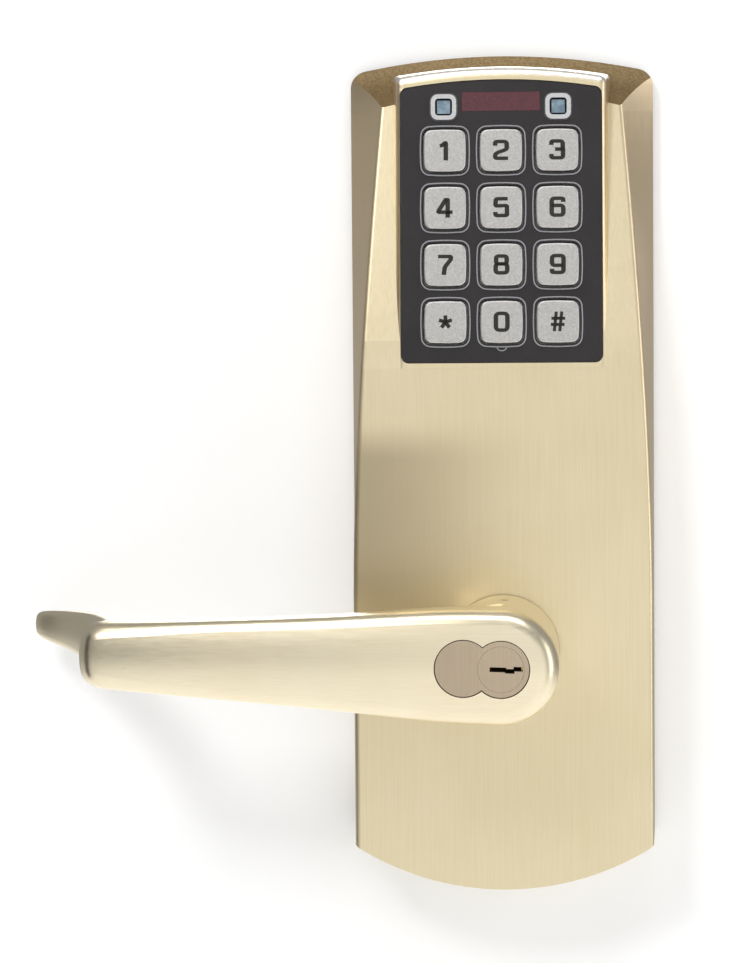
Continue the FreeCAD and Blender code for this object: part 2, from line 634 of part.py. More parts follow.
def make_plate_screws():
    screws = []
    for name, across, up in plate_screw_places():
        shank = rod(f"screw_{name}", "screw_radius", ("0.5", "1 + screw_long"), across, up)
        head = rod(f"screw_head_{name}", "screw_head", ("0.1", "1"), across, up)
        socket = rod(f"screw_socket_{name}", "1", ("0", "0.7"), across, up)
        screws.append(cut(f"screw_cut_{name}", fuse(f"screw_solid_{name}", [shank, head]), socket))
    keep(group("plate_screws", screws), "plate_screws")


def make_shield():
    plate = block("shield_blank", ("-shield_half", "shield_half"),
                  ("shield_front - shield_thick", "shield_front"), ("shield_low", "shield_high"))
    holes = [rod(f"shield_hole_{k}", "1.6", ("shield_front - 5", "shield_front + 1"), f"{k} * (shield_half - 4)",
                 "shield_low + 5") for k in (-1, 1)]
    keep(cut("shield_plate", plate, group("shield_holes", holes)), "shield_plate")


# ---------------------------------------------------------------- the keypad
def make_bezel():
    half, side = size("panel_half"), size("panel_side")
    blank = feature("bezel_blank", arched_prism(half, 0.0, side, side + 2.4, size("panel_corner"),
                                                size("panel_corner"), -size("panel_thick"), 0.0))
    bosses = [rod(f"bezel_boss_{name}", "panel_boss_radius", ("-board_front", "-panel_thick + 0.4"), across, up)
              for name, across, up in panel_screw_places()]
    tools = [rod(f"bezel_tap_{name}", "panel_screw_radius + boss_slack", ("-board_front - 1", "-3.4"), across, up)
             for name, across, up in panel_screw_places()]
    for name, across, up in key_places():
        hole, _ = bowed_prism(f"opening_{name}", "key_width + 2 * key_gap", "key_height + 2 * key_gap",
                              "key_corner", "-4", "1")
        bind(hole, Placement__Base__x=across, Placement__Base__z=up)
        tools.append(hole)
    for side_name, side in (("l", -1), ("r", 1)):
        hole, _ = bowed_prism(f"lamp_opening_{side_name}", "lamp_frame + 0.06", "lamp_frame + 0.06",
                              "lamp_frame_corner", "-lamp_seat", "1")
        bind(hole, Placement__Base__x=f"{side} * lamp_across", Placement__Base__z="lamp_at")
        tools.append(hole)
        middle = f"{side} * lamp_across"
        half = "(lamp_lens / 2 + 0.05)"
        tools.append(block(f"lens_opening_{side_name}", (f"{middle} - {half}", f"{middle} + {half}"), ("-4", "1"),
                           (f"lamp_at - {half}", f"lamp_at + {half}")))
    tools.append(block("window_pocket", ("-window_half - 0.05", "window_half + 0.05"), ("-window_thick", "1"),
                       ("window_low - 0.05", "window_high + 0.05")))
    tools.append(block("window_through", ("-window_half + 1", "window_half - 1"), ("-4", "1"),
                       ("window_low + 1", "window_high - 1")))
    whole = fuse("bezel_solid", [blank] + bosses)
    keep(on_keypad(cut("keypad_bezel", whole, group("bezel_tools", tools))), "keypad_bezel")


def bowed_ring(name, width, height, corner, wall, proud, across, up):
    """A bowed ring standing on the panel round a key or a lamp."""
    outer, _ = bowed_prism(f"{name}_outer", width, height, corner, "0", proud)
    inner, _ = bowed_prism(f"{name}_inner", f"{width} - 2 * {wall}", f"{height} - 2 * {wall}",
                           f"{corner} - {wall}", "-1", "2")
    for item in (outer, inner):
        bind(item, Placement__Base__x=across, Placement__Base__z=up)
    return cut(f"{name}_ring", outer, inner)


def make_rims():
    rims = []
    for name, across, up in key_places():
        high = bowed_ring(f"rim_{name}", "ring_width", "ring_height", "ring_corner", "ring_wall", "ring_proud",
                          across, up)
        low = bowed_ring(f"rim_step_{name}", "(ring_width - 0.4)", "(ring_height - 0.4)", "(ring_corner - 0.2)",
                         "(ring_wall + ring_step - 0.2)", "ring_step_proud", across, up)
        rims.append(fuse(f"rim_whole_{name}", [high, low]))
    keep(on_keypad(group("key_rims", rims)), "key_rims")


def make_keys():
    for name, across, up in key_places():
        body, cap = bowed_prism(f"cap_{name}", "key_width", "key_height", "key_corner", "-key_inner", "key_proud")
        top = [f"Edge{k + 1}" for k, e in enumerate(cap.Shape.Edges)
               if e.BoundBox.YLength < 1e-4 and abs(e.BoundBox.YMin + size("key_proud")) < 1e-4]
        dome = body.newObject("PartDesign::Fillet", f"dome_{name}")
        dome.Base = (cap, top)
        bind(dome, Radius="key_dome")
        sketch = body.newObject("Sketcher::SketchObject", f"lip_sketch_{name}")
        plane = [item for item in body.Origin.OriginFeatures if item.Role == "XZ_Plane"][0]
        sketch.AttachmentSupport = [(plane, "")]
        sketch.MapMode = "FlatFace"
        bowed_loop(sketch, "key_lip", "key_lip", "side_bow")
        lip = body.newObject("PartDesign::Pad", f"lip_{name}")
        lip.Profile = sketch
        bind(sketch, AttachmentOffset__Base__z="-panel_thick - 0.3 - key_lip_thick")
        bind(lip, Length="key_lip_thick")
        doc.recompute()
        if name == "5":
            nib = rod("finding_nib", "nib_radius", ("key_proud - 0.3", "key_proud + 0.15"), "0", "-nib_low")
            body = fuse("nibbed_key", [body, nib])
        keep(on_keypad(body, across, up), f"key_{name}")


def make_membrane():
    sheet_blank = block("membrane_sheet", ("-membrane_half", "membrane_half"),
                        ("-membrane_front - membrane_thick", "-membrane_front"), ("membrane_low", "65.2"))
    buttons = [rod(f"button_{name}", "pad_button", ("-membrane_front - 0.5", "-pad_button_top - 0.1"), across, up)
               for name, across, up in key_places()]
    pockets = [rod(f"membrane_dome_{name}", "snap_radius + 0.2",
                   ("-membrane_front - membrane_thick - 1", "-membrane_front - membrane_thick + 0.4"), across, up)
               for name, across, up in key_places()]
    whole = fuse("membrane_solid", [sheet_blank] + buttons)
    keep(on_keypad(cut("keypad_membrane", whole, group("membrane_pockets", pockets))), "keypad_membrane")


def make_snap_domes():
    domes = []
    for name, across, up in key_places():
        low = rod(f"snap_{name}", "snap_radius", ("-board_front", "-board_front + 0.2"), across, up)
        high = rod(f"snap_top_{name}", "snap_radius * 0.6", ("-board_front", "-board_front + snap_thick"),
                   across, up)
        domes.append(fuse(f"snap_dome_{name}", [low, high]))
    keep(on_keypad(group("snap_domes", domes)), "snap_domes")


def make_board():
    blank = block("board_blank", ("-board_half", "board_half"), ("-board_front - board_thick", "-board_front"),
                  ("board_low", "board_high"))
    holes = [rod(f"board_hole_{name}", "panel_screw_radius + 0.1", ("-12", "0"), across, up)
             for name, across, up in panel_screw_places()]
    keep(on_keypad(cut("control_board", blank, group("board_holes", holes))), "control_board")


def make_panel_screws():
    screws = []
    for name, across, up in panel_screw_places():
        shank = rod(f"panel_screw_{name}", "panel_screw_radius", ("-board_front - board_thick - 0.2", "-4"),
                    across, up)
        head = rod(f"panel_screw_head_{name}", "panel_boss_radius", ("-board_front - board_thick - 0.9",
                                                                      "-board_front - board_thick"), across, up)
        screws.append(fuse(f"panel_screw_whole_{name}", [shank, head]))
    keep(on_keypad(group("panel_screws", screws)), "panel_screws")


def make_lamps():
    frames, lenses, lights = [], [], []
    for side_name, side in (("l", -1), ("r", 1)):
        outer, _ = bowed_prism(f"lamp_{side_name}", "lamp_frame", "lamp_frame", "lamp_frame_corner",
                               "-lamp_seat", "lamp_frame_proud")
        flange, _ = bowed_prism(f"lamp_foot_{side_name}", "lamp_flange", "lamp_flange", "lamp_frame_corner + 0.3",
                                "0", "lamp_flange_proud")
        inner, _ = bowed_prism(f"lamp_inner_{side_name}", "lamp_frame - 2 * lamp_frame_wall",
                               "lamp_frame - 2 * lamp_frame_wall", "lamp_corner", "-4", "2")
        for item in (outer, flange, inner):
            bind(item, Placement__Base__x=f"{side} * lamp_across", Placement__Base__z="lamp_at")
        frames.append(cut(f"lamp_ring_{side_name}", fuse(f"lamp_solid_{side_name}", [outer, flange]), inner))
        middle = f"{side} * lamp_across"
        pipe = block(f"lamp_pipe_{side_name}", (f"{middle} - lamp_lens / 2", f"{middle} + lamp_lens / 2"),
                     ("-panel_thick - 1.6", "lamp_lens_proud"), ("lamp_at - lamp_lens / 2", "lamp_at + lamp_lens / 2"))
        flange = block(f"lamp_flange_{side_name}", (f"{middle} - 3.2", f"{middle} + 3.2"),
                       ("-panel_thick - 0.8", "-panel_thick"), ("lamp_at - 3.2", "lamp_at + 3.2"))
        lenses.append(fuse(f"lamp_lens_{side_name}", [pipe, flange]))
        lights.append(block(f"lamp_light_{side_name}", (f"{middle} - 1.2", f"{middle} + 1.2"),
                            ("-board_front", "-board_front + 1.2"), ("lamp_at - 1", "lamp_at + 1")))
    for k in range(4):
        middle = f"{k - 1.5} * 4.4"
        lights.append(block(f"window_light_{k}", (f"{middle} - 1", f"{middle} + 1"),
                            ("-board_front", "-board_front + 1.1"), ("lamp_at - 0.2", "lamp_at + 1.4")))
    keep(on_keypad(group("lamp_frames", frames)), "lamp_frames")
    keep(on_keypad(group("lamp_lenses", lenses)), "lamp_lenses")
    keep(on_keypad(group("status_leds", lights)), "status_leds")
    pane = block("window_pane", ("-window_half", "window_half"), ("-window_thick", "0"),
                 ("window_low", "window_high"))
    keep(on_keypad(group("display_window", [pane])), "display_window")


def make_board_parts():
    back = "-board_front - board_thick"
    places = [(-14, 30, 8, 8, 1.2), (12, 34, 6, 9, 1.4), (-15, 44, 5, 4, 1.0), (13, 46, 4, 4, 1.0),
              (0, 67, 12, 5, 1.6), (-4, 8, 3, 2, 0.8), (3, 8, 3, 2, 0.8), (-16, 8, 7, 5, 2.0)]
    chips = [block(f"chip_{k}", (f"{x} - {w / 2}", f"{x} + {w / 2}"), (f"{back} - {tall}", back),
                   (f"{z} - {high / 2}", f"{z} + {high / 2}")) for k, (x, z, w, high, tall) in enumerate(places)]
    keep(on_keypad(group("board_chips", chips)), "board_chips")
    shell = block("plug_shell", ("8", "20"), (f"{back} - 4.5", back), ("5.5", "10.5"))
    mouth = block("plug_mouth", ("9", "19"), (f"{back} - 5.5", f"{back} - 1"), ("6.3", "9.7"))
    keep(on_keypad(cut("board_connector", shell, mouth)), "board_connector")
    drum = rod("buzzer_drum", "5.5", (f"{back} - 3.2", back), "0", "37")
    port = rod("buzzer_port", "1", (f"{back} - 4", f"{back} - 2"), "0", "37")
    keep(on_keypad(cut("buzzer", drum, port)), "buzzer")


def make_clamps():
    bars, screws = [], []
    for level in ("clamp_low", "clamp_high"):
        strip = block(f"{level}_bar", ("-clamp_half", "clamp_half"), ("-clamp_front - clamp_thick", "-clamp_front"),
                      (f"{level} - clamp_height / 2", f"{level} + clamp_height / 2"))
        pads = [block(f"{level}_pad_{k}", (f"{x} - 2", f"{x} + 2"), ("-clamp_front - 0.5", "-board_front - board_thick"),
                      (f"{level} - 2", f"{level} + 2")) for k, x in enumerate((-20, 20))]
        holes = [rod(f"{level}_hole_{k}", "clamp_screw_radius + 0.2", ("-20", "0"), f"{k} * clamp_boss_across", level)
                 for k in (-1, 1)]
        bars.append(cut(f"{level}_clamp", fuse(f"{level}_solid", [strip] + pads), group(f"{level}_holes", holes)))
        for k in (-1, 1):
            shank = rod(f"{level}_shank_{k}", "clamp_screw_radius",
                        ("-clamp_front - clamp_thick - 0.3", "-clamp_front + clamp_screw_long - 0.4"),
                        f"{k} * clamp_boss_across", level)
            head = rod(f"{level}_head_{k}", "2", ("-clamp_front - clamp_thick - 1", "-clamp_front - clamp_thick"),
                       f"{k} * clamp_boss_across", level)
            screws.append(fuse(f"{level}_screw_{k}", [shank, head]))
    keep(on_keypad(group("keypad_clamps", bars)), "keypad_clamps")
    keep(on_keypad(group("clamp_screws", screws)), "clamp_screws")


# ---------------------------------------------------------------- the lever and what turns with it
def make_lever():
    arm = Part.makeLoft(lever_sections(), True, False)
    right, rear = lever_hub()
    neck = Part.makeCylinder(13.2, 26.0, Vector(-6.6, -34.0, 0), Vector(0, -1, 0))
    foot = [e for e in neck.Edges if e.BoundBox.YLength < 1e-4 and e.BoundBox.YMax > -34.01]
    solid = feature("lever_solid", arm.fuse([right, rear, neck.makeFillet(5.0, foot)]))
    back = "core_front - core_long"
    gap = "lobe_radius + core_gap"
    tools = [rod("socket_plug", gap, (back, "hub_front + 3")),
             rod("socket_blank", gap, (back, "hub_front + 3"), "-lobe_offset"),
             rod("sleeve_socket", "sleeve_radius + boss_slack", ("hub_back - 1", "hub_back + socket_deep")),
             rod("tail_hole", "tail_wide + 1", ("hub_back", "core_front")),
             bar("release_hole", "release_hole", ("8", "hub_radius + 1"), "0", "40"),
             rod("lug_recess", "lug_reach + 0.35", ("lug_front - lug_long - 0.35", "lug_front + 0.35"),
                 start=size("lug_angle") - 2.5, angle="lug_span + lug_throw + 5")]
    handle = cut("lever_handle", solid, fuse("lever_tools", tools))
    handle.Refine = False
    lifted(keep(handle, "lever_handle"))
    pin = bar("catch_pin", "release_hole - 0.05", ("8.4", "hub_radius - 0.2"), "0", "40")
    lifted(keep(group("lever_catch", [pin]), "lever_catch"))


def make_sleeve():
    tube = rod("sleeve_tube", "sleeve_radius", ("sleeve_end", "hub_back + socket_deep"))
    tools = [rod("sleeve_inside", "sleeve_bore", ("0", "hub_back + socket_deep + 1")),
             bar("sleeve_pin_hole", "clutch_radius + 0.05", ("4", "16"), "0", "pin_at"),
             cut("sleeve_groove", rod("groove_outer", "sleeve_radius + 2", ("clip_front - clip_thick", "clip_front")),
                 rod("groove_inner", "ring_groove", ("0", "40")))]
    keep(cut("lever_sleeve", tube, group("sleeve_tools", tools)), "lever_sleeve")


def make_bush():
    tube = rod("bush_tube", "bush_radius", ("bush_back", "body_depth + 0.3"))
    lip = rod("bush_lip", "bush_flange", ("body_depth", "body_depth + bush_lip"))
    bore = rod("bush_bore", "sleeve_radius + run_gap", ("0", "40"))
    keep(cut("spindle_bush", fuse("bush_solid", [tube, lip]), bore), "spindle_bush")


def make_clip():
    disc = rod("clip_disc", "clip_radius", ("clip_front - clip_thick + 0.02", "clip_front - 0.02"))
    bore = rod("clip_bore", "ring_groove + 0.02", ("0", "40"))
    mouth = block("clip_mouth", ("-1.6", "1.6"), ("0", "40"), ("-20", "0"))
    keep(cut("retaining_ring", disc, group("clip_tools", [bore, mouth])), "retaining_ring")


def make_collar():
    tube = rod("collar_tube", "collar_radius", ("collar_back + 0.2", "collar_front"))
    rim = rod("collar_rim", "collar_flange", ("collar_back + 0.2", "collar_step - 0.2"))
    arm = block("collar_arm", ("-finger_half", "finger_half"), ("finger_arm", "collar_step + 0.2"),
                ("sleeve_radius + 0.5", "finger_reach"))
    prong = block("collar_prong", ("-finger_half", "finger_half"), ("finger_arm", "collar_front"),
                  ("finger_inner", "finger_reach"))
    tools = [rod("collar_bore", "sleeve_radius + 0.01", ("0", "40")),
             bar("collar_pin_hole", "clutch_radius + 0.05", ("4", "18"), "0", "pin_at")]
    keep(cut("drive_collar", fuse("collar_solid", [tube, rim, arm, prong]), group("collar_tools", tools)),
         "drive_collar")


def make_clutch_pin():
    keep(bar("clutch_pin", "clutch_radius", ("sleeve_bore + 0.25", "14.6"), "0", "pin_at"), "clutch_pin")


def make_return_spring():
    mean, wire = size("spring_mean"), size("spring_wire") / 2
    pitch, turns = size("spring_pitch"), size("spring_turns")
    lean = math.asin((size("finger_half") + wire + 0.08) / mean)
    span = 2 * math.pi * math.floor(turns) - 2 * lean
    count = 24 * int(turns)
    low = size("spring_low")
    points = []
    for k in range(count + 1):
        angle = math.pi / 2 - lean - span * k / count
        rise = low + (pitch * turns) * k / count
        points.append(Vector(mean * math.cos(angle), -rise, mean * math.sin(angle)))
    curve = Part.BSplineCurve()
    curve.interpolate(points)
    path = Part.Wire(curve.toShape())
    ring = Part.Wire(Part.makeCircle(wire, points[0], curve.tangent(curve.FirstParameter)[0]))
    coil = path.makePipeShell([ring], True, True)
    legs = []
    for end in (points[0], points[-1]):
        legs.append(Part.makeCylinder(wire, size("spring_leg") - mean, end, Vector(0, 0, 1)))
        legs.append(Part.makeSphere(wire, end))
    keep(feature("return_spring", coil.fuse(legs)), "return_spring")


def make_cage():
    ring = rod("cage_outer", "cage_outer", ("cage_low", "cage_high"))
    hole = rod("cage_inner", "cage_inner", ("0", "40"))
    gap = rod("cage_gap", "30", ("0", "40"), start=90 - size("cage_open"), angle="2 * cage_open")
    keep(cut("spring_cage", ring, group("cage_tools", [hole, gap])), "spring_cage")


def make_hub_and_spindle():
    disc = rod("hub_disc", "sleeve_bore - 0.08", ("hub_rear", "hub_rear + hub_long"))
    shaft_hole = rod("hub_shaft_hole", "shaft_root + 0.01", ("0", "shaft_front"))
    slot = block("hub_slot", ("-clutch_radius - 0.1", "clutch_radius + 0.1"),
                 ("pin_at - clutch_radius - 0.1", "pin_at + clutch_radius + 0.1"), ("slot_floor", "20"))
    keep(cut("drive_hub", disc, group("hub_tools", [shaft_hole, slot])), "drive_hub")
    root = rod("spindle_root", "shaft_root", ("shaft_root_back", "shaft_front"))
    shaft = rod("spindle_round", "shaft_radius", ("-shaft_step", "shaft_root_back + 1"))
    square = block("spindle_square", ("-shaft_square", "shaft_square"), ("-shaft_reach", "-shaft_step + 1"),
                   ("-shaft_square", "shaft_square"))
    keep(fuse("output_spindle", [root, shaft, square]), "output_spindle")


def make_clutch():
    arc = cut("foot_band", rod("foot_disc", "foot_outer", ("slider_back", "slider_front"), "0", "slider_rise"),
              rod("foot_bore", "foot_inner", ("0", "40"), "0", "slider_rise"))
    wedge = rod("foot_wedge", "30", ("slider_back - 1", "slider_front + 1"), "0", "slider_rise",
                start=90 - size("foot_angle"), angle="2 * foot_angle")
    foot = common("slider_foot", arc, wedge)
    stem = block("slider_stem", ("-stem_half", "stem_half"), ("slider_back", "slider_front"),
                 ("14.5 + slider_rise", "nut_low + 7"))
    nut = block("slider_nut", ("-nut_half", "nut_half"), ("slider_back", "nut_front"), ("nut_low", "nut_low + 7"))
    bore = bar("nut_bore", "thread_radius + 0.05", ("nut_low - 2", "nut_low + 12"), "0", "thread_at")
    keep(cut("clutch_slider", fuse("slider_solid", [foot, stem, nut]), bore), "clutch_slider")
    keep(bar("lead_screw", "thread_radius", ("thread_low", "motor_low + 2"), "0", "thread_at"), "lead_screw")
    can = bar("motor_can", "motor_radius", ("motor_low", "motor_high"), "0", "thread_at")
    bore = bar("motor_bore", "thread_radius + 0.05", ("motor_low - 1", "motor_low + 2.3"), "0", "thread_at")
    keep(cut("clutch_motor", can, bore), "clutch_motor")
    wall = "motor_radius + bracket_wall"
    saddle = block("saddle", (f"-({wall})", wall), ("1 + plate_thick", f"thread_at + {wall}"),
                   ("bracket_low", "bracket_high"))
    feet = block("saddle_feet", ("-bracket_foot", "bracket_foot"),
                 ("1 + plate_thick", "1 + plate_thick + bracket_wall"), ("bracket_low", "bracket_high"))
    tools = [bar("saddle_bore", "motor_radius + 0.02", ("bracket_low - 1", "bracket_high + 1"), "0", "thread_at")]
    tools += [rod(f"saddle_hole_{k}", "1.1", ("0", "6"), f"{k} * (bracket_foot - 2)", "(bracket_low + bracket_high) / 2")
              for k in (-1, 1)]
    keep(cut("motor_bracket", fuse("saddle_solid", [saddle, feet]), group("saddle_tools", tools)), "motor_bracket")


# ---------------------------------------------------------------- the key core
def pin_depths():
    return [(k, f"pin_first - {k} * pin_pitch") for k in range(int(size("pin_count")))]


def make_core():
    ends = ("core_front - core_long", "core_front")
    solid = fuse("core_solid", [rod("core_plug_lobe", "lobe_radius", ends),
                                rod("core_blank_lobe", "lobe_radius", ends, "-lobe_offset")])
    tools = [rod("core_plug_bore", "plug_radius + control_wall + 2 * run_gap", ("control_front - control_long - 0.3",
                                                                                 "control_front + 0.1")),
             rod("core_face_bore", "plug_face + run_gap", ("core_front - plug_face_thick - 0.35", "core_front + 1")),
             rod("core_front_bore", "plug_radius + run_gap", ("control_front", "core_front")),
             rod("core_back_bore", "plug_radius + run_gap", ("core_front - core_long - 1", "control_front")),
             rod("core_window", "lobe_radius + 2", ("lug_front - lug_long - 0.35", "lug_front + 0.35"),
                 start=size("lug_angle") - 2.5, angle="lug_span + lug_throw + 5")]
    tools += [radial(f"chamber_{k}", "pin_radius + 0.05", ("5", "16.2"), depth) for k, depth in pin_depths()]
    lifted(keep(cut("core_shell", solid, group("core_tools", tools)), "core_shell"))
    drivers = [radial(f"driver_{k}", "pin_radius", ("6.45", "10"), depth) for k, depth in pin_depths()]
    lifted(keep(group("driver_pins", drivers), "driver_pins"))
    coils = [radial(f"pin_spring_{k}", "pin_radius - 0.15", ("10", "15.2"), depth) for k, depth in pin_depths()]
    lifted(keep(group("pin_springs", coils), "pin_springs"))
    caps = [radial(f"pin_cap_{k}", "pin_radius + 0.04", ("15.2", "16.1"), depth) for k, depth in pin_depths()]
    lifted(keep(group("pin_caps", caps), "pin_caps"))


def make_control():
    inner, outer = "plug_radius + run_gap", "plug_radius + run_gap + control_wall"
    tube = rod("control_tube", outer, ("control_front - control_long", "control_front - 0.3"))
    lug = rod("control_lug", "lug_reach", ("lug_front - lug_long", "lug_front"), start=size("lug_angle"),
              angle="lug_span")
    tools = [rod("control_bore", inner, ("0", "80"))]
    tools += [radial(f"control_hole_{k}", "pin_radius + 0.02", ("4", "9"), depth) for k, depth in pin_depths()]
    lifted(keep(cut("control_sleeve", fuse("control_solid", [tube, lug]), group("control_tools", tools)),
                "control_sleeve"))
    builds = [radial(f"build_up_{k}", "pin_radius", ("plug_radius + 0.14", "plug_radius + control_wall - 0.1"), depth)
              for k, depth in pin_depths()]
    lifted(keep(group("build_up_pins", builds), "build_up_pins"))


def make_plug():
    back = "core_front - plug_long"
    barrel = rod("plug_barrel", "plug_radius", (back, "core_front - 0.4"))
    face = rod("plug_face", "plug_face", ("core_front - plug_face_thick", "core_front"))
    tail = rod("plug_tail", "1.7", ("tail_end", back))
    ward = [block("keyway_left", ("-3", "1.4"), ("core_front - 24", "core_front + 1"), ("-0.65", "0.6")),
            block("keyway_middle", ("1.1", "3.6"), ("core_front - 24", "core_front + 1"), ("-0.95", "0.25")),
            block("keyway_right", ("3.3", "5.8"), ("core_front - 24", "core_front + 1"), ("-0.35", "0.85"))]
    ward += [radial(f"plug_chamber_{k}", "pin_radius + 0.04", ("2.4", "6.5"), depth) for k, depth in pin_depths()]
    lifted(keep(cut("key_plug", fuse("plug_solid", [barrel, face, tail]), group("plug_tools", ward)), "key_plug"))
    pins = [radial(f"bottom_{k}", "pin_radius", ("2.9", "plug_radius - 0.06"), depth) for k, depth in pin_depths()]
    lifted(keep(group("bottom_pins", pins), "bottom_pins"))


fill_sheet()
for build in (make_housing, make_gasket, make_mounting_plate, make_posts, make_plate_screws, make_shield,
              make_bezel, make_rims, make_keys, make_membrane, make_snap_domes, make_board, make_panel_screws,
              make_lamps, make_board_parts, make_clamps, make_lever, make_sleeve, make_bush, make_clip,
              make_collar, make_clutch_pin, make_return_spring, make_cage, make_hub_and_spindle, make_clutch,
              make_core, make_control, make_plug):
    build()
doc.recompute()

faults = [item.Name for item in doc.Objects if "Invalid" in item.State or "Error" in item.State]
faults += [item.Label for item in made if item.Shape.isNull() or not item.Shape.isValid() or not item.Shape.Solids]
if faults:
    raise RuntimeError("faulty: " + ", ".join(faults))

os.makedirs("parts", exist_ok=True)
for item in made:
    item.Shape.exportStep(f"parts/{item.Label}.step")
    box = item.Shape.BoundBox
    print(f"{item.Label:16s} {len(item.Shape.Solids):3d} solids {item.Shape.Volume:10.1f} mm3  "
          f"x {box.XMin:7.2f} {box.XMax:7.2f}  y {box.YMin:7.2f} {box.YMax:7.2f}  z {box.ZMin:7.2f} {box.ZMax:7.2f}")
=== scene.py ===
import json
import math

import bpy
from mathutils import Matrix, Vector


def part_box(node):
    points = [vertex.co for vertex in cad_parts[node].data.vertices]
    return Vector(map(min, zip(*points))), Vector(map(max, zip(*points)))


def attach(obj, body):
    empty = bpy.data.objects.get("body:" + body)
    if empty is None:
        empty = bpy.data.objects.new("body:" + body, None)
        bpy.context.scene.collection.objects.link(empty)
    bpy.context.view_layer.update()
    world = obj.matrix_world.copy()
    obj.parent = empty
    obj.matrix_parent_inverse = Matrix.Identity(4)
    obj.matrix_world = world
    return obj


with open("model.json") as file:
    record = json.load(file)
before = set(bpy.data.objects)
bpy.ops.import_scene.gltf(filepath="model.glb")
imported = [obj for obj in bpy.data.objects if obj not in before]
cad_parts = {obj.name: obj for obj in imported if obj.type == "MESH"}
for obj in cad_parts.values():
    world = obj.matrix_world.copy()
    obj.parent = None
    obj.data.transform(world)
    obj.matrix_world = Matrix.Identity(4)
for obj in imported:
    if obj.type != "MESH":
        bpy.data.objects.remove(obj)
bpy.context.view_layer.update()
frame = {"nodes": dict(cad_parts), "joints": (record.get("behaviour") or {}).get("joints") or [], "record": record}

MM = 0.001
NODES = frame["nodes"]
KEYS = ["1", "2", "3", "4", "5", "6", "7", "8", "9", "star", "0", "hash"]
JOINT_AXES = {joint["name"]: Vector(joint["axis"]).normalized() for joint in frame["joints"]}
INTO_PANEL = JOINT_AXES["press_5"]
ACROSS = Vector((1.0, 0.0, 0.0))
UP_PANEL = ACROSS.cross(INTO_PANEL).normalized()


def foremost(node):
    """Depth, into the panel, of a keypad piece's foremost face."""
    return min(v.co.dot(INTO_PANEL) for v in NODES[node].data.vertices)


